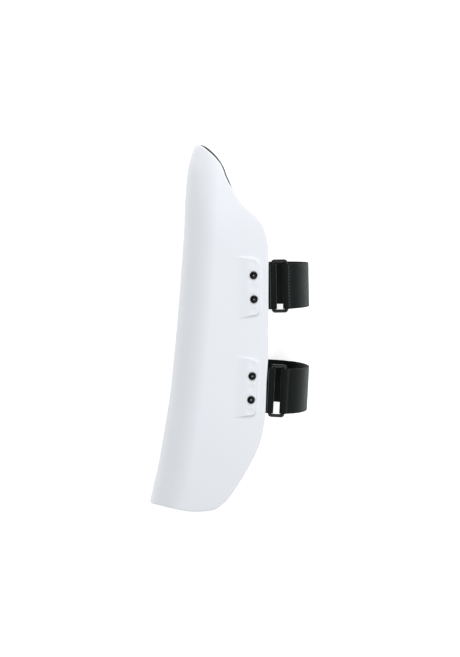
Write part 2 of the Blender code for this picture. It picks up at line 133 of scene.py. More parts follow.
# Webbing and buckles
STRAP_WIDTH = 0.047
WEBBING = 0.0016  # thickness of one layer
WEBBING_COLUMNS = (0.15, 0.3, 0.44, 0.472, 0.5)  # its mesh's lines to each side, as shares of its width
LAYER_GAP = 0.0003
CLEARANCE = 0.0003
TAB_REACH = 0.0251
STRAP_REACH = 0.0447
LOOP_START = 0.0104
EYE_LENGTH = 0.0048
BUCKLE_BACK = 0.0117
BUCKLE_DEPTH = 0.0172
BUCKLE_BAR = 0.0034
BUCKLE_CORNER = 0.0018  # radius of the bar's middle line round a corner
BAR_SQUARENESS = 0.55  # 1 is a round bar, 0 a square one
BAR_GIRTH = 0.55  # the radius that the webbing needs to clear the bar, as a share of the bar
BAR_SIDES = 20
CORNER_STEPS = 8
WINDOW_CLEARANCE = 0.0008
SELVEDGE = 0.00055  # rounding of the webbing's edges
STITCH_LENGTH = 0.0019
STITCH_RADIUS = 0.0003
STITCH_ROUNDING = STITCH_RADIUS * 0.6
FOLD_STITCHES = (13, 0.0033, 0.0010)  # how many, their pitch, and their distance behind the buckle's bar
TAB_STITCHES = (22, 0.0020, 0.0021)  # zigzag pairs, their pitch, and their distance behind the shell
ZIGZAG_SLANT = math.radians(42)

LAYER_PITCH = WEBBING + LAYER_GAP
WALL_FACE = HALF_WIDTH - SHELL_WALL
TAB_MIDDLE = WALL_FACE - CLEARANCE - WEBBING - LAYER_GAP / 2
WRAP_RADIUS = BUCKLE_BAR * BAR_GIRTH + CLEARANCE + WEBBING / 2
BAR_SPACING = BUCKLE_DEPTH - BUCKLE_BAR
FRONT_BAR = BUCKLE_BACK - BAR_SPACING / 2
REAR_BAR = BUCKLE_BACK + BAR_SPACING / 2
BEND_DEPTH = STRAP_REACH - LOOP_START - WEBBING / 2 + LAYER_PITCH / 2
BAR_TURN = math.acos((REAR_BAR - LOOP_START) / BEND_DEPTH)
SPOT_FLOOR = HALF_WIDTH + PANEL_RISE - SPOT_DEPTH

# down: place along the length; lean: degrees the top leans back; slip: how far the webbing is up from
# the middle of its rivets; lift: how far the buckle is up from the webbing; fold: how far the strap's
# end comes back over itself from the buckle
STRAP_SITES = (
    {"name": "upper", "down": 0.3918, "lean": -1.2, "slip": 0.0001, "lift": 0.0005, "fold": 0.0068},
    {"name": "lower", "down": 0.6663, "lean": 2.8, "slip": -0.0025, "lift": 0.0003, "fold": 0.112},
)

# down, ahead: shares of GUARD_LENGTH and FRONT_SWEEP
FRONT_LINE = (
    (-0.008, -0.068), (0.0, 0.0), (0.0073, 0.046), (0.018, 0.083), (0.041, 0.138), (0.071, 0.193),
    (0.105, 0.225), (0.155, 0.251), (0.222, 0.269), (0.290, 0.299), (0.390, 0.356), (0.490, 0.418),
    (0.590, 0.487), (0.691, 0.567), (0.791, 0.683), (0.892, 0.815), (0.959, 0.930), (1.0, 1.0),
)
# down, behind: shares of GUARD_LENGTH and EDGE_REACH
KNEE_ARCH = (
    (0.0, 0.0), (0.0060, 0.043), (0.0164, 0.106), (0.0250, 0.158), (0.0311, 0.196), (0.0416, 0.252),
    (0.0503, 0.292), (0.0592, 0.330), (0.068, 0.357), (0.0775, 0.377), (0.0936, 0.405), (0.110, 0.445),
    (0.125, 0.490), (0.141, 0.537),
)
SHELL_EDGE = (
    (0.1577, 0.593), (0.1738, 0.661), (0.190, 0.758), (0.206, 0.839), (0.2226, 0.907), (0.2386, 0.949),
    (0.255, 0.970), (0.271, 0.987), (0.287, 0.997), (0.3035, 1.0), (0.35, 1.0), (0.43, 1.0), (0.563, 1.0),
    (0.65, 0.975), (0.729, 0.962), (0.773, 0.938), (0.805, 0.9015), (0.8376, 0.8405), (0.870, 0.7585),
    (0.9024, 0.6655), (0.9349, 0.5625), (0.951, 0.5075), (0.969, 0.440), (0.985, 0.355), (0.998, 0.268),
    (1.0035, 0.151), (1.0053, 0.009), (1.0037, -0.147), (1.0003, -0.231), (0.9965, -0.367), (0.9942, -0.475),
    (0.9945, -0.575), (0.9975, -0.65), (1.0, -0.694),
)
LINER_EDGE = (
    (0.16, 0.545), (0.22, 0.600), (0.30, 0.622), (0.50, 0.622), (0.70, 0.600), (0.82, 0.535), (0.89, 0.440),
    (0.93, 0.330), (0.955, 0.180), (0.965, 0.0), (0.968, -0.25), (0.968, -0.66),
)
SPLINE_STEPS = 12

# Spacing of the points that the sheets are made of
EDGE_POINTS = 0.0014
SHELL_POINTS = 0.0023
LINER_POINTS = 0.0032
RING_POINTS = 0.0010
GRID_CLEARANCE = 0.55  # between the points of a grid and any line, as a share of their spacing
PROBE = 0.0004  # a short way over the pattern, to see what lies there

# Smoothness of round forms
PANEL_RINGS = 8
PANEL_CORNER_POINTS = 10
RIM_TURNS = (30, 60, 90)
ROUND_SIDES = 48
BEND_STEP = 3  # degrees
FINE_BEND = 60  # degrees round the strap's bend from which its points lie closer


# Curves


def spline(points):
    """Close-set points along a Catmull-Rom curve through the given ones."""
    given = np.array(points, float)
    ends = (2 * given[0] - given[1], 2 * given[-1] - given[-2])
    knots = np.vstack([ends[0], given, ends[1]])
    steps = np.linspace(0, 1, SPLINE_STEPS, endpoint=False)[:, None]
    spans = []
    for before, start, end, after in zip(knots, knots[1:], knots[2:], knots[3:]):
        bend = 2 * before - 5 * start + 4 * end - after
        twist = 3 * start - before - 3 * end + after
        spans.append(start + (steps * (end - before) + steps**2 * bend + steps**3 * twist) / 2)
    return np.vstack([*spans, given[-1:]])


def spaced(line, spacing):
    """Points along a line, about as far apart as the spacing."""
    runs = np.concatenate([[0], np.cumsum(np.linalg.norm(np.diff(line, axis=0), axis=1))])
    places = np.linspace(0, runs[-1], max(2, round(runs[-1] / spacing) + 1))
    return np.stack([np.interp(places, runs, column) for column in line.T], axis=-1)


def smooth_step(share):
    share = np.clip(share, 0, 1)
    return share * share * (3 - 2 * share)


# The shell's surface: a flat pattern of girth and height, rolled round the leg


FRONT_POINTS = spline(FRONT_LINE)


def front_x(y):
    """Where the front line is at a height."""
    return -FRONT_SWEEP * np.interp(-y / GUARD_LENGTH, FRONT_POINTS[:, 0], FRONT_POINTS[:, 1])


def half_width(y):
    """Half of the shell's width at a height: narrower at both ends."""
    down = -y / GUARD_LENGTH
    towards_knee = np.clip(1 - down / FLAT_FLANK[0], 0, None)
    towards_boot = np.clip((down - FLAT_FLANK[1]) / (1 - FLAT_FLANK[1]), 0, None)
    return HALF_WIDTH * (1 - KNEE_NARROWING * towards_knee**2 - BOOT_NARROWING * towards_boot**2)


def unroll(x, y):
    """Girth from the front line to a point of the side view."""
    depth = np.clip(x - front_x(y), 0, None)
    in_arc = np.arccos(np.clip(1 - depth / FRONT_ARC_DEPTH, 0, 1)) * 2 / math.pi * ARC_GIRTH
    return np.where(depth < FRONT_ARC_DEPTH, in_arc, ARC_GIRTH + depth - FRONT_ARC_DEPTH)


def roll_up(pattern):
    """The places in space of points of the flat pattern; girth is negative on the far flank."""
    girth, y = pattern[..., 0], pattern[..., 1]
    turn = np.minimum(np.abs(girth) / ARC_GIRTH, 1) * math.pi / 2
    straight = np.clip(np.abs(girth) - ARC_GIRTH, 0, None)
    x = front_x(y) + FRONT_ARC_DEPTH * (1 - np.cos(turn)) + straight
    return np.stack([x, y, np.sign(girth) * half_width(y) * np.sin(turn)], axis=-1)


def unit(vectors):
    return vectors / np.linalg.norm(vectors, axis=-1, keepdims=True)


def surface_way(pattern, way):
    """The way in space of a way in the pattern."""
    step = PROBE * way
    return unit(roll_up(pattern + step) - roll_up(pattern - step))


def surface_normal(pattern):
    girthwise, upwards = (surface_way(pattern, way) for way in np.eye(2))
    return unit(np.cross(girthwise, upwards))


def edge_pattern(table):
    """The near half of an edge in the flat pattern, from a table of down and behind."""
    down, behind = spline(table).T
    y = -down * GUARD_LENGTH
    return np.stack([unroll(behind * EDGE_REACH, y), y], axis=1)


def moved_out(edge, distances):
    """The near half of an edge, moved outwards in the pattern and kept on the front line at both ends."""
    run = np.gradient(edge, axis=0)
    outward = unit(np.stack([-run[:, 1], run[:, 0]], axis=1))
    outward[0], outward[-1] = (0, 1), (0, -1)
    return edge + outward * np.reshape(distances, (-1, 1))


def both_halves(edge):
    """The closed outline of a sheet from the near half of its edge, anticlockwise in the pattern."""
    return np.concatenate([edge[::-1], (edge * (-1, 1))[1:-1]])


def liner_edge():
    """The near half of the liner's edge, which shows past the knee arch and goes in at its shoulder."""
    edge = edge_pattern(KNEE_ARCH + LINER_EDGE)
    shoulder = KNEE_ARCH[-1][0]
    to_shoulder = 1 + edge[:, 1] / GUARD_LENGTH / shoulder
    return moved_out(edge, LINER_REVEAL * smooth_step(to_shoulder * 4))


# Relief of the strap panels, in the frame of the rear edge at each strap


OUTLINE = spline(KNEE_ARCH + SHELL_EDGE)


def edge_place(site):
    """Where the rear edge is at a strap, in side view, and the turn of its frame."""
    turn = -math.radians(site["lean"])
    return np.array((EDGE_REACH * np.interp(site["down"], *OUTLINE.T), -site["down"] * GUARD_LENGTH)), turn


def edge_frame(site):
    place, turn = edge_place(site)
    return RESTING_POSE @ Matrix.Translation((*place, 0)) @ Matrix.Rotation(turn, 4, "Z")


def turned(points, turn):
    cosine, sine = math.cos(turn), math.sin(turn)
    return points @ np.array(((cosine, sine), (-sine, cosine)))


def to_site(site, pattern):
    """Points of the pattern in the frame of a strap's rear edge."""
    place, turn = edge_place(site)
    return turned(roll_up(pattern)[:, :2] - place, -turn)


def to_pattern(site, points, side):
    """The pattern's points on one flank for points in the frame of a strap's rear edge."""
    place, turn = edge_place(site)
    x, y = (turned(np.array(points), turn) + place).T
    return np.stack([side * unroll(x, y), y], axis=1)


def half_height(forward):
    """Half of a panel's height at a distance forward of its rear foot."""
    return PANEL_HEIGHT / 2 + PANEL_FLARE * np.clip(forward, 0, None) / PANEL_DEPTH


def panel_share(local):
    """How far up a panel's step points are: 0 at its foot, 1 on the panel."""
    forward = -PANEL_INSET - local[:, 0]
    half = half_height(forward)
    short = [np.clip(PANEL_CORNER - way, 0, None) for way in (forward, half - np.abs(local[:, 1]))]
    width = np.interp(local[:, 1] / half, (-STEP_CHANGE, STEP_CHANGE), PANEL_STEPS)
    in_step = (PANEL_CORNER - np.hypot(*short)) / width
    return np.minimum(in_step, (PANEL_DEPTH - forward) / PANEL_RAMP)


def panel_ring(share):
    """The line round a panel on which its step has come up by a share."""
    angles = np.radians(np.linspace(90, 0, PANEL_CORNER_POINTS))
    front = PANEL_DEPTH - share * RING_RAMP
    sides = []
    for width in PANEL_STEPS:
        radius = PANEL_CORNER - share * width
        forward = PANEL_CORNER - radius * np.cos(angles)
        up = half_height(forward) - PANEL_CORNER + radius * np.sin(angles)
        start = (front, half_height(front) - share * width)
        sides.append(np.vstack([start, np.stack([forward, up], axis=1)]))
    bottom, top = sides
    ring = np.concatenate([top, bottom[::-1] * (1, -1), top[:1]])
    return spaced(ring * (-1, 1) - (PANEL_INSET, 0), RING_POINTS)[:-1]


def spots():
    """Every moulded spot of a panel: its place and whether a rivet goes through it."""
    for pitches in RIVET_PLACES + CLOSED_PLACES:
        yield np.array((-RIVET_INSET, pitches * HOLE_PITCH)), pitches in RIVET_PLACES


def up_wall(radius, rim, wall):
    """How far up a spot's wall points at a radius are: 0 on its floor, 1 outside it."""
    return smooth_step((radius - rim + wall) / wall / 2)


def relief(pattern):
    """How far the shell's outer face stands proud of its plain surface."""
    height = np.zeros(len(pattern))
    for site in STRAP_SITES:
        local = to_site(site, pattern)
        rise = PANEL_RISE * smooth_step(panel_share(local))
        for centre, riveted in spots():
            radius = np.linalg.norm(local - centre, axis=1)
            if riveted:
                floor = PANEL_RISE - SPOT_DEPTH * (1 - up_wall(radius, SPOT_RADIUS, SPOT_WALL))
                rise = np.where(radius > SPOT_RADIUS, rise, np.minimum(rise, floor))
            else:
                depth = CLOSED_SPOT_DEPTH * (1 - up_wall(radius, CLOSED_SPOT_RADIUS, CLOSED_SPOT_WALL))
                rise = rise - np.where(rise > 0, depth, 0)
        height = np.maximum(height, rise)
    return height


def circle_points(centre, radius, sides=ROUND_SIDES // 2):
    angles = np.arange(sides) * 2 * math.pi / sides
    return centre + radius * np.stack([np.cos(angles), np.sin(angles)], axis=1)


def relief_lines():
    """Closed lines that the shell's mesh follows round its panels and spots, and the holes through it."""
    lines, holes = [], []
    for site in STRAP_SITES:
        for side in (1, -1):
            for share in np.linspace(0, 1, PANEL_RINGS):
                lines.append(to_pattern(site, panel_ring(share), side))
            for centre, riveted in spots():
                rim, wall = (SPOT_RADIUS, SPOT_WALL) if riveted else (CLOSED_SPOT_RADIUS, CLOSED_SPOT_WALL)
                for radius in (rim + wall, rim, rim - wall, rim * SPOT_INNER):
                    lines.append(to_pattern(site, circle_points(centre, radius), side))
                if riveted:
                    holes.append(to_pattern(site, circle_points(centre, HOLE_RADIUS), side))
    return lines, holes


# Sheets


def inside(points, loop):
    """Which points lie inside a closed loop."""
    within = np.zeros(len(points), bool)
    for (x1, y1), (x2, y2) in zip(loop, np.roll(loop, -1, axis=0)):
        crosses = (y1 > points[:, 1]) != (y2 > points[:, 1])
        if crosses.any():
            across = x1 + (points[:, 1] - y1) / (y2 - y1 if y2 != y1 else 1) * (x2 - x1)
            within ^= crosses & (points[:, 0] < across)
    return within


def filling_points(outline, lines, spacing):
    """Points of a triangular grid inside an outline, clear of every line."""
    low, high = outline.min(axis=0), outline.max(axis=0)
    rows = np.arange(low[1], high[1], spacing * math.sqrt(3) / 2)
    columns = np.arange(low[0], high[0], spacing)
    grid = np.array([(x + spacing / 2 * (row % 2), y) for row, y in enumerate(rows) for x in columns])
    grid = grid[inside(grid, outline)]
    near = KDTree(sum(map(len, lines)))
    for number, point in enumerate(np.concatenate(lines)):
        near.insert((*point, 0), number)
    near.balance()
    clear = [near.find((*point, 0))[2] > spacing * GRID_CLEARANCE for point in grid]
    return grid[clear]


def between_rings(points):
    """Which points lie on the slopes round the panels, where the rings alone make the mesh."""
    shares = [panel_share(to_site(site, points)) for site in STRAP_SITES]
    return np.any([(share > 0) & (share < 1) for share in shares], axis=0)


def triangulated(outline, lines, holes, filling):
    """(points, triangles) of a pattern whose mesh follows its outline, lines and holes.

    The triangulation itself works in millimetres, as its tolerance is one length for all sizes."""
    loops = [outline, *lines, *holes]
    points = np.concatenate([*loops, filling])
    ties, start = [], 0
    for loop in loops:
        ties += [(start + i, start + (i + 1) % len(loop)) for i in range(len(loop))]
        start += len(loop)
    scaled = [Vector(point * 1000) for point in points]
    made = delaunay_2d_cdt(scaled, ties, [], 1, 1e-5, False)
    points = np.array([tuple(vertex) for vertex in made[0]]) / 1000
    triangles = np.array(made[2])
    middles = points[triangles].mean(axis=1)
    kept = inside(middles, outline)
    for hole in holes:
        kept &= ~inside(middles, hole)
    return points, triangles[kept]


def border(triangles):
    """The directed edges with a triangle on one side only, as the next point of each point."""
    edges = {(a, b) for t in triangles.tolist() for a, b in zip(t, t[1:] + t[:1])}
    return {a: b for a, b in edges if (b, a) not in edges}


def sheet(name, outline, lines, holes, spacing, height, sink, wall, rim):
    """A wall over a pattern, with rounded edges. Its outer face is at height(points) - sink.

    It needs another way than a primitive: its outline and its relief are drawn in the flat pattern."""
    filling = filling_points(outline, [outline, *lines, *holes], spacing)
    if lines:
        filling = filling[~between_rings(filling)]
    pattern, triangles = triangulated(outline, lines, holes, filling)
    normals = surface_normal(pattern)
    base = roll_up(pattern) - normals * sink
    outer = base + normals * height(pattern)[:, None]
    inner = base - normals * wall
    following = border(triangles)
    leading = {b: a for a, b in following.items()}
    order = sorted(following)
    around = pattern[[following[a] for a in order]] - pattern[[leading[a] for a in order]]
    outward = unit(np.stack([around[:, 1], -around[:, 0]], axis=1))
    ends, out, up = pattern[order], surface_way(pattern[order], outward), normals[order]
    at_hole = np.zeros(len(order), bool)
    for hole in holes:
        at_hole |= inside(ends + outward * PROBE, hole)
    reach = np.where(at_hole, 0, rim)[:, None]
    rings = []
    for face, way in ((outer, -1), (inner, 1)):
        for turn in np.radians(RIM_TURNS)[::-way]:
            inwards = way * up * rim * (1 - math.cos(turn))
            rings.append(face[order] + out * reach * math.sin(turn) + inwards)
    count, points = len(pattern), np.concatenate([outer, inner, *rings])
    # Each level numbers the border's points once more: outer face, rings, inner face
    starts = [2 * count + level * len(order) for level in range(len(rings))]
    levels = [{a: a for a in order}]
    levels += [{a: start + place for place, a in enumerate(order)} for start in starts]
    levels += [{a: count + a for a in order}]
    faces = triangles.tolist() + (triangles[:, ::-1] + count).tolist()
    for a, b in following.items():
        faces += [(one[b], one[a], other[a], other[b]) for one, other in zip(levels, levels[1:])]
    mesh = bpy.data.meshes.new(name)
    mesh.from_pydata(points.tolist(), [], faces)
    piece = bpy.data.objects.new(name, mesh)
    bpy.context.scene.collection.objects.link(piece)
    mesh.shade_smooth()
    return piece


# Work on pieces


def newest(name):
    """The piece that the last operator made, named."""
    piece = bpy.context.object
    piece.name = piece.data.name = name
    return piece


def alone(piece):
    bpy.ops.object.select_all(action="DESELECT")
    piece.select_set(True)
    bpy.context.view_layer.objects.active = piece


def apply_modifier(piece, kind, **settings):
    alone(piece)
    modifier = piece.modifiers.new(kind, kind)
    for name, choice in settings.items():
        setattr(modifier, name, choice)
    bpy.ops.object.modifier_apply(modifier=modifier.name)


def bevelled(piece, width, segments):
    """Rounds the sharp edges of a piece."""
    apply_modifier(
        piece, "BEVEL", width=width, segments=segments, limit_method="ANGLE", angle_limit=math.radians(60))


def repeated(piece, count, pitch):
    """Repeats a piece upwards."""
    apply_modifier(
        piece, "ARRAY", count=count, use_relative_offset=False, use_constant_offset=True,
        constant_offset_displace=(0, pitch, 0))


def joined(name, pieces):
    alone(pieces[0])
    for piece in pieces[1:]:
        piece.select_set(True)
    bpy.ops.object.join()
    return newest(name)


def set_in_place(piece, frame, material, replaced=None, sharp=35):
    """Moves a finished piece's mesh to where it lies, and hides the CAD part that it stands for.

    sharp is the least angle, in degrees, of the edges that aren't shaded as round."""
    piece.data.transform(frame)
    if material:
        piece.data.materials.clear()
        piece.data.materials.append(material)
    piece.data.shade_smooth()
    piece.data.set_sharp_from_angle(angle=math.radians(sharp))
    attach(piece, "root")
    if replaced:
        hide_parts(replaced)
    return piece


# Webbing


def half_opening(distance):
    """Half of the distance between two layers, which part round a buckle bar."""
    opening = WRAP_RADIUS - LAYER_PITCH / 2
    return LAYER_PITCH / 2 + opening * float(smooth_step(1 - distance / EYE_LENGTH))


def tab_line():
    """From the rivets back round the front bar of the buckle and forward again."""
    steps = np.concatenate([np.linspace(-TAB_REACH, -CLEARANCE, 12), np.linspace(0, FRONT_BAR, 13)[1:-1]])
    outer = [(x, TAB_MIDDLE + half_opening(FRONT_BAR - x)) for x in steps]
    inner = [(x, 2 * TAB_MIDDLE - z) for x, z in outer[::-1]]
    turns = np.radians(np.linspace(90, -90, 17))
    wrap = [(FRONT_BAR + WRAP_RADIUS * math.cos(a), TAB_MIDDLE + WRAP_RADIUS * math.sin(a)) for a in turns]
    return [*outer, *wrap, *inner]


def strap_middle(turn):
    """Middle of the strap's two layers at an angle round its bend, and the way out from there."""
    near = TAB_MIDDLE / math.sin(BAR_TURN)
    far = WALL_FACE - CLEARANCE - WEBBING / 2 + LAYER_PITCH / 2
    across = near if turn > 0 else far
    middle = Vector((LOOP_START + BEND_DEPTH * math.cos(turn), across * math.sin(turn)))
    return middle, Vector((across * math.cos(turn), BEND_DEPTH * math.sin(turn))).normalized()


def strap_line(fold):
    """From the far rivets back round the leg to the buckle, round its rear bar and back over itself."""
    bar, outward = strap_middle(BAR_TURN)
    forward = Vector((-outward.y, outward.x))
    coarse, fine = np.arange(-90, FINE_BEND, BEND_STEP), np.linspace(FINE_BEND, math.degrees(BAR_TURN), 18)
    turns = np.radians([*coarse, *fine[:-1]])
    inner, outer, passed = [], [], 0
    last = bar
    for turn in turns[::-1]:
        middle, out = strap_middle(turn)
        passed += (middle - last).length
        last = middle
        half = half_opening((middle - bar).length)
        inner.append(middle - out * half)
        if passed <= fold:
            outer.append(middle + out * half)
    around = np.radians(np.linspace(0, 180, 17))
    wrap = [bar + WRAP_RADIUS * (forward * math.sin(a) - outward * math.cos(a)) for a in around]
    flat = [(x, inner[-1].y) for x in np.linspace(-TAB_REACH, 0, 9)[:-1]]
    return flat + [tuple(p) for p in inner[::-1] + wrap + outer]


def webbing(name, line, slip, frame, material):
    """A strip of webbing along a line, with rounded selvedges and a UV map in millimetres."""
    line = np.array(line)
    runs = np.concatenate([[0], np.cumsum(np.linalg.norm(np.diff(line, axis=0), axis=1))])
    half = np.array(WEBBING_COLUMNS)
    across = np.concatenate([-half[::-1], [0], half]) * STRAP_WIDTH
    bpy.ops.object.select_all(action="DESELECT")
    bpy.ops.mesh.primitive_grid_add(x_subdivisions=len(across) - 1, y_subdivisions=len(line) - 1)
    strip = newest(name)
    points = [(x, slip + y, z) for x, z in line for y in across]
    strip.data.vertices.foreach_set("co", np.array(points).ravel())
    places = np.array([(v, u) for u in runs for v in across]) * 1000
    index = np.empty(len(strip.data.loops), int)
    strip.data.loops.foreach_get("vertex_index", index)
    strip.data.uv_layers[0].data.foreach_set("uv", places[index].ravel())
    apply_modifier(strip, "SOLIDIFY", thickness=WEBBING, offset=0, use_even_offset=True)
    bevelled(strip, SELVEDGE, 3)
    drills = []
    for pitches in RIVET_PLACES:
        bpy.ops.object.select_all(action="DESELECT")
        bpy.ops.mesh.primitive_cylinder_add(
            vertices=ROUND_SIDES // 2, radius=HOLE_RADIUS, depth=HALF_WIDTH * 2,
            location=(-RIVET_INSET, pitches * HOLE_PITCH, 0))
        drills.append(newest("drill"))
    drill = joined("drill", drills)
    apply_modifier(strip, "BOOLEAN", object=drill, operation="DIFFERENCE", solver="EXACT")
    bpy.data.objects.remove(drill)
    return set_in_place(strip, frame, material, name.replace("_webbing", ""), 50)


def thread(name, length, turn):
    """One stitch: a rounded length of thread along y, turned about z."""
    bpy.ops.object.select_all(action="DESELECT")
    bpy.ops.mesh.primitive_cylinder_add(
        vertices=10, radius=STITCH_RADIUS, depth=length, rotation=(math.pi / 2, 0, 0))
    stitch = newest(name)
    bpy.ops.object.transform_apply(location=False, rotation=True, scale=False)
    bevelled(stitch, STITCH_ROUNDING, 2)
    stitch.data.transform(Matrix.Rotation(turn, 4, "Z"))
    return stitch


def fold_stitches(site, frame, material):
    """The seam that closes the upper strap's short fold behind the buckle."""
    count, pitch, behind = FOLD_STITCHES
    bar, _ = strap_middle(BAR_TURN)
    seam, out = strap_middle(BAR_TURN - behind / BEND_DEPTH)
    place = seam + out * (half_opening((seam - bar).length) + WEBBING / 2)
    stitches = thread(site["name"] + "_fold_stitches", STITCH_LENGTH, 0)
    repeated(stitches, count, pitch)
    lowest = site["slip"] - (count - 1) / 2 * pitch
    tilt = Matrix.Rotation(math.atan2(out.x, out.y), 4, "Y")
    stitches.data.transform(Matrix.Translation((place.x, lowest, place.y)) @ tilt)
    return set_in_place(stitches, frame, material)


def tab_stitches(site, frame, material):
    """The zigzag that closes a tab between the shell's edge and the buckle."""
    count, pitch, behind = TAB_STITCHES
    length = pitch / 2 / math.cos(ZIGZAG_SLANT) + STITCH_RADIUS
    one, other = (thread("zigzag", length, slant) for slant in (ZIGZAG_SLANT, -ZIGZAG_SLANT))
    other.data.transform(Matrix.Translation((0, pitch / 2, 0)))
    stitches = joined(site["name"] + "_tab_stitches", [one, other])
    repeated(stitches, count, pitch)
    lowest = site["slip"] - (count - 0.5) / 2 * pitch
    face = TAB_MIDDLE + half_opening(FRONT_BAR - behind) + WEBBING / 2
    stitches.data.transform(Matrix.Translation((behind, lowest, face)))
    return set_in_place(stitches, frame, material)


# Buckles and rivets


def buckle(name, site, frame, material):
    """A rectangular loop of rounded bar: a torus drawn out to four straight sides."""
    half_x = BAR_SPACING / 2 - BUCKLE_CORNER
    half_y = STRAP_WIDTH / 2 + WINDOW_CLEARANCE + BUCKLE_BAR / 2 - BUCKLE_CORNER
    turns = np.radians(np.linspace(0, 90, CORNER_STEPS))
    angles = np.arange(BAR_SIDES) * 2 * math.pi / BAR_SIDES
    circle = np.stack([np.cos(angles), np.sin(angles)])
    section = BUCKLE_BAR / 2 * np.sign(circle) * np.abs(circle) ** BAR_SQUARENESS
    points = []
    for quarter, (right, up) in enumerate(((1, 1), (-1, 1), (-1, -1), (1, -1))):
        for turn in turns + quarter * math.pi / 2:
            reach = BUCKLE_CORNER + section[0]
            x = BUCKLE_BACK + right * half_x + reach * math.cos(turn)
            y = site["slip"] + site["lift"] + up * half_y + reach * math.sin(turn)
            points.append(np.stack([x, y, TAB_MIDDLE + section[1]], axis=1))
    bpy.ops.object.select_all(action="DESELECT")
    bpy.ops.mesh.primitive_torus_add(major_segments=len(points), minor_segments=BAR_SIDES)
    loop = newest(name)
    loop.data.vertices.foreach_set("co", np.concatenate(points).ravel())
    return set_in_place(loop, frame, material, name.replace("_loop", ""), 60)


def rivet_form(face, materials):
    """A domed head with the pin's end in its dimple, a shank, and the flange behind the webbing's face."""
    seat = SPOT_FLOOR + CLEARANCE
    crown = seat + HEAD_HEIGHT
    flange = face - CLEARANCE
    clinched = flange - FLANGE_THICKNESS
    dome_width, dome_height = HEAD_RADIUS - HEAD_DIMPLE, HEAD_HEIGHT - HEAD_RIM
    profile = [(PIN_RADIUS * out, crown - DIMPLE_DEPTH * down) for out, down in PIN_END]
    profile.append((HEAD_DIMPLE * DIMPLE_FLOOR[0], crown - DIMPLE_DEPTH * DIMPLE_FLOOR[1]))
    for angle in np.radians(DOME_ANGLES):
        lower = dome_height * (1 - math.cos(angle))
        profile.append((HEAD_DIMPLE + dome_width * math.sin(angle), crown - lower))
    profile += [
        (HEAD_RADIUS, seat + HEAD_ROUNDING), (HEAD_RADIUS - HEAD_ROUNDING, seat),
        (SHANK_RADIUS, seat), (SHANK_RADIUS, flange),
        (FLANGE_RADIUS - FLANGE_ROUNDING, flange), (FLANGE_RADIUS, flange - FLANGE_ROUNDING),
        (FLANGE_RADIUS, clinched + CLINCH_ROUNDING), (FLANGE_RADIUS - CLINCH_ROUNDING, clinched),
    ]
    bpy.ops.object.select_all(action="DESELECT")
    radius, height = profile[0]
    bpy.ops.mesh.primitive_circle_add(vertices=ROUND_SIDES, radius=radius, fill_type="NGON")
    form = newest("rivet_form")
    form.data.transform(Matrix.Translation((0, 0, height)))
    bpy.ops.object.mode_set(mode="EDIT")
    bpy.ops.mesh.select_all(action="SELECT")
    for wider, lower in profile[1:]:
        bpy.ops.mesh.extrude_region_move(TRANSFORM_OT_translate={"value": (0, 0, lower - height)})
        bpy.ops.transform.resize(value=(wider / radius, wider / radius, 1), center_override=(0, 0, 0))
        radius, height = wider, lower
    bpy.ops.mesh.select_all(action="SELECT")
    bpy.ops.mesh.normals_make_consistent(inside=False)
    bpy.ops.object.mode_set(mode="OBJECT")
    for material in materials:
        form.data.materials.append(material)
    # The pin's end takes the second material, whose light grey is a painted highlight
    for polygon in form.data.polygons:
        if polygon.center.z > seat and polygon.center.xy.length < PIN_RADIUS:
            polygon.material_index = 1
    return form


def rivets(site, frame, materials):
    """Copies of one rivet for each flank of a strap. The materials are the head's and the pin's."""
    near_face = TAB_MIDDLE - LAYER_PITCH / 2 - WEBBING / 2
    far_face = WALL_FACE - CLEARANCE - WEBBING
    for flank, turn, face in (("near", 0, near_face), ("far", math.pi, far_face)):
        form = rivet_form(face, materials)
        for number, pitches in enumerate(RIVET_PLACES, 1):
            name = f"{site['name']}_{flank}_rivet_{number}"
            rivet = bpy.data.objects.new(name + "_turned", form.data.copy())
            bpy.context.scene.collection.objects.link(rivet)
            place = Matrix.Translation((-RIVET_INSET, pitches * HOLE_PITCH, 0))
            rivet.data.transform(place @ Matrix.Rotation(turn, 4, "X"))
            set_in_place(rivet, frame, None, name, 50)
        bpy.data.objects.remove(form)


# Materials: the darker and the lighter tone of each


WHITE_TONES = ((0.795, 0.822, 0.868, 1), (0.835, 0.860, 0.900, 1))
FOAM_TONES = ((0.020, 0.022, 0.025, 1), (0.055, 0.058, 0.064, 1))
WEBBING_TONES = ((0.0022, 0.0032, 0.0032, 1), (0.0085, 0.0110, 0.0110, 1))
THREAD_TONES = ((0.042, 0.047, 0.047, 1), (0.095, 0.102, 0.102, 1))
BUCKLE_TONES = ((0.0015, 0.0015, 0.0018, 1), (0.004, 0.004, 0.0045, 1))
LACQUER_TONES = ((0.001, 0.001, 0.0012, 1), (0.003, 0.003, 0.0033, 1))
# The pin ends' light grey is a painted highlight: it gives the bright dot in each rivet's dimple
PAINTED_GLINT_PIN_TONES = ((0.38, 0.39, 0.40, 1), (0.55, 0.56, 0.58, 1))

# Pitches of the webbing's weave, in the millimetres of its UV map
YARN_PITCH = 1.5
PICK_PITCH = 1.3
RIB_PITCH = 0.65


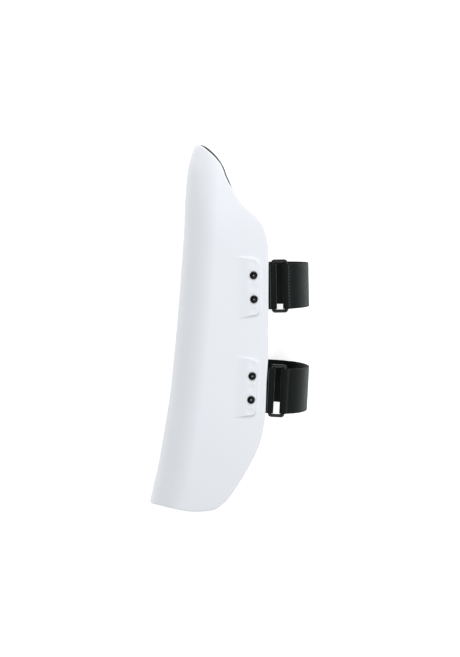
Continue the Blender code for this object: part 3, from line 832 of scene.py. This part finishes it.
class Value:
    """A socket in a material's nodes that takes part in plain arithmetic."""

    def __init__(self, tree, socket):
        self.tree, self.socket = tree, socket

    def node(self, kind, output, inputs, **settings):
        """Another node of the same material, with its inputs by name or number."""
        made = self.tree.nodes.new(kind)
        for name, choice in settings.items():
            setattr(made, name, choice)
        for name, given in inputs.items():
            if isinstance(given, Value):
                self.tree.links.new(given.socket, made.inputs[name])
            else:
                made.inputs[name].default_value = given
        return Value(self.tree, made.outputs[output])

    def maths(self, operation, *others):
        return self.node("ShaderNodeMath", 0, dict(enumerate((self, *others))), operation=operation)

    def __add__(self, other):
        return self.maths("ADD", other)

    def __mul__(self, other):
        return self.maths("MULTIPLY", other)

    def wave(self, pitch):
        """A sine from -1 to 1 with that pitch."""
        return (self * (2 * math.pi / pitch)).maths("SINE")

    def noise(self, scale, detail=3):
        inputs = {"Vector": self, "Scale": scale, "Detail": detail, "Roughness": 0.55}
        return self.node("ShaderNodeTexNoise", "Fac", inputs)

    def spread(self, low, high, start=0.0, end=1.0):
        """This value, taken from low..high to start..end."""
        inputs = {"Value": self, "From Min": low, "From Max": high, "To Min": start, "To Max": end}
        return self.node("ShaderNodeMapRange", 0, inputs)

    def mixed(self, first, second):
        """A colour between two, by this value."""
        return self.node("ShaderNodeMix", 2, {0: self, 6: first, 7: second}, data_type="RGBA")

    def bump(self, strength, distance):
        return self.node("ShaderNodeBump", 0, {"Height": self, "Strength": strength, "Distance": distance})


def new_material(name, **constants):
    """(material, shader, object coordinates, UV) of a new one, with constants set on its sockets."""
    material = bpy.data.materials.new(name)
    material.use_nodes = True
    tree = material.node_tree
    shader = tree.nodes["Principled BSDF"]
    for socket, value in constants.items():
        shader.inputs[socket.replace("_", " ")].default_value = value
    coordinates = tree.nodes.new("ShaderNodeTexCoord")
    place, uv = (Value(tree, coordinates.outputs[output]) for output in ("Object", "UV"))
    return material, shader, place, uv


def link(value, shader, socket):
    value.tree.links.new(value.socket, shader.inputs[socket])


def white_plastic():
    """Satin moulded plastic with a faint blue cast, very slightly uneven as injected sheet is."""
    material, shader, place, _ = new_material("white_moulded_plastic", IOR=1.47, Specular_IOR_Level=0.35)
    cloud = place.noise(18)
    grain = place.noise(900, 2)
    link(cloud.mixed(*WHITE_TONES), shader, "Base Color")
    link(cloud.spread(0.3, 0.7, 0.36, 0.44) + grain * 0.05, shader, "Roughness")
    link((grain * 0.5 + place.noise(70) * 2).bump(0.12, 0.0002), shader, "Normal")
    return material


def foam():
    """Dark closed-cell foam under a fine knit."""
    material, shader, place, _ = new_material("liner_foam_knit", Roughness=0.95)
    knit = place.noise(1400, 1)
    link((place.noise(60) * 0.6 + knit * 0.4).mixed(*FOAM_TONES), shader, "Base Color")
    link((knit + place.noise(200)).bump(0.5, 0.0004), shader, "Normal")
    return material


def webbing_weave():
    """Close-woven webbing: yarns along it, ribs across it and a little fuzz that catches light edge on."""
    material, shader, place, uv = new_material(
        "black_webbing", Specular_IOR_Level=0.14, Sheen_Weight=0.2, Sheen_Roughness=0.27,
        Sheen_Tint=(0.85, 1, 1, 1))
    across, along = (uv.node("ShaderNodeSeparateXYZ", axis, {0: uv}) for axis in ("X", "Y"))
    weave = across.wave(YARN_PITCH) * along.wave(PICK_PITCH)
    ribs = along.wave(RIB_PITCH)
    fibre = place.noise(2200, 2)
    shade = weave * 0.22 + ribs * 0.08 + fibre * 0.5 + place.noise(45) * 0.35
    link(shade.spread(0, 0.85).mixed(*WEBBING_TONES), shader, "Base Color")
    link(fibre.spread(0, 1, 0.62, 0.82), shader, "Roughness")
    link((weave * 0.6 + ribs * 0.25 + fibre * 0.5).bump(0.55, 0.00025), shader, "Normal")
    return material


def sewing_thread():
    """Thread a little lighter than the webbing."""
    material, shader, place, _ = new_material("sewing_thread", Roughness=0.5, Sheen_Weight=0.2)
    link(place.noise(1500).mixed(*THREAD_TONES), shader, "Base Color")
    return material


def gloss(name, tones, roughness, specular):
    """Moulded black plastic, black lacquer and the rivets' light grey pin end, whose tone is a painted
    highlight; each with a faint unevenness in its gloss.
    """
    material, shader, place, _ = new_material(name, Specular_IOR_Level=specular)
    link(place.noise(120).mixed(*tones), shader, "Base Color")
    link(place.noise(400).spread(0.3, 0.7, roughness, roughness + 0.1), shader, "Roughness")
    link(place.noise(700).bump(0.08, 0.0002), shader, "Normal")
    return material


# Assembly


def sheet_outline(edge, rim):
    """The outline of a sheet's flat part, which its rounded rim takes out to the edge."""
    return both_halves(spaced(moved_out(edge, -rim), EDGE_POINTS))


def no_relief(pattern):
    return np.zeros(len(pattern))


def build_guard():
    outline = sheet_outline(edge_pattern(KNEE_ARCH + SHELL_EDGE), SHELL_RIM)
    lines, holes = relief_lines()
    shell = sheet("white_shell", outline, lines, holes, SHELL_POINTS, relief, 0, SHELL_WALL, SHELL_RIM)
    set_in_place(shell, RESTING_POSE, white_plastic(), "shell")
    outline = sheet_outline(liner_edge(), LINER_RIM)
    liner = sheet(
        "foam_liner", outline, [], [], LINER_POINTS, no_relief, LINER_SINK, LINER_THICKNESS, LINER_RIM)
    set_in_place(liner, RESTING_POSE, foam(), "liner", 60)


def build_straps():
    weave = webbing_weave()
    sewing = sewing_thread()
    plastic = gloss("buckle_plastic_black", BUCKLE_TONES, 0.2, 0.22)
    lacquer = gloss("rivet_lacquer_black", LACQUER_TONES, 0.25, 0.16)
    # The light grey of the rivets' pin ends is a painted highlight, for the bright dot in each dimple
    painted_glint_pin = gloss("rivet_pin_painted_glint", PAINTED_GLINT_PIN_TONES, 0.3, 0.5)
    for site in STRAP_SITES:
        name, frame = site["name"], edge_frame(site)
        webbing(name + "_tab_webbing", tab_line(), site["slip"], frame, weave)
        webbing(name + "_strap_webbing", strap_line(site["fold"]), site["slip"], frame, weave)
        buckle(name + "_buckle_loop", site, frame, plastic)
        rivets(site, frame, (lacquer, painted_glint_pin))
        tab_stitches(site, frame, sewing)
    fold_stitches(STRAP_SITES[0], edge_frame(STRAP_SITES[0]), sewing)


# Studio


CAMERA_PLACE = Vector((0.035, -0.091, 1.55075))  # in the guard's own frame
CAMERA_AIM = Vector((0.035, -0.1945, 0.05075))
CAMERA_LENS = 79.1
SENSOR_WIDTH = 36
FLOOR_SIZE = 8.0
FLOOR_GLOW = 0.54
SKY_STRENGTH = 0.36
LIGHT_AIM = Vector((0, 0, 0.03))
# size: across the disk; power: watts
LIGHTS = (
    {"name": "knee_side_key", "place": (0.3, 1.6, 1.1), "size": 1.1, "power": 24},
    {"name": "overhead_fill", "place": (0.3, -0.5, 1.9), "size": 1.4, "power": 13},
)


def add_floor():
    bpy.ops.object.select_all(action="DESELECT")
    bpy.ops.mesh.primitive_plane_add(size=FLOOR_SIZE)
    floor = newest("floor")
    material, *_ = new_material(
        "floor_white", Base_Color=(0.85, 0.85, 0.85, 1), Roughness=0.9, Emission_Color=(1, 1, 1, 1),
        Emission_Strength=FLOOR_GLOW)
    floor.data.materials.append(material)


def add_light(name, place, size, power):
    light = bpy.data.lights.new(name, "AREA")
    light.shape, light.size, light.energy = "DISK", size, power
    lamp = bpy.data.objects.new(name, light)
    lamp.location = place
    lamp.rotation_mode = "QUATERNION"
    lamp.rotation_quaternion = (LIGHT_AIM - Vector(place)).to_track_quat("-Z", "Y")
    bpy.context.scene.collection.objects.link(lamp)


def add_studio():
    add_floor()
    world = bpy.data.worlds.new("studio")
    world.use_nodes = True
    sky = world.node_tree.nodes["Background"]
    sky.inputs["Color"].default_value = (1, 1, 1, 1)
    sky.inputs["Strength"].default_value = SKY_STRENGTH
    bpy.context.scene.world = world
    for light in LIGHTS:
        add_light(**light)


def add_camera():
    camera = bpy.data.cameras.new("photo_camera")
    camera.lens, camera.sensor_width = CAMERA_LENS, SENSOR_WIDTH
    holder = bpy.data.objects.new("photo_camera", camera)
    bpy.context.scene.collection.objects.link(holder)
    back = (CAMERA_PLACE - CAMERA_AIM).normalized()
    right = Vector((1, 0, 0))
    looking = Matrix((right, back.cross(right), back)).transposed().to_4x4()
    holder.matrix_world = RESTING_POSE @ Matrix.Translation(CAMERA_PLACE) @ looking
    bpy.context.scene.camera = holder


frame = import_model()
build_guard()
build_straps()
add_studio()
add_camera()
bpy.context.scene.view_settings.view_transform = "Standard"
bpy.context.view_layer.update()
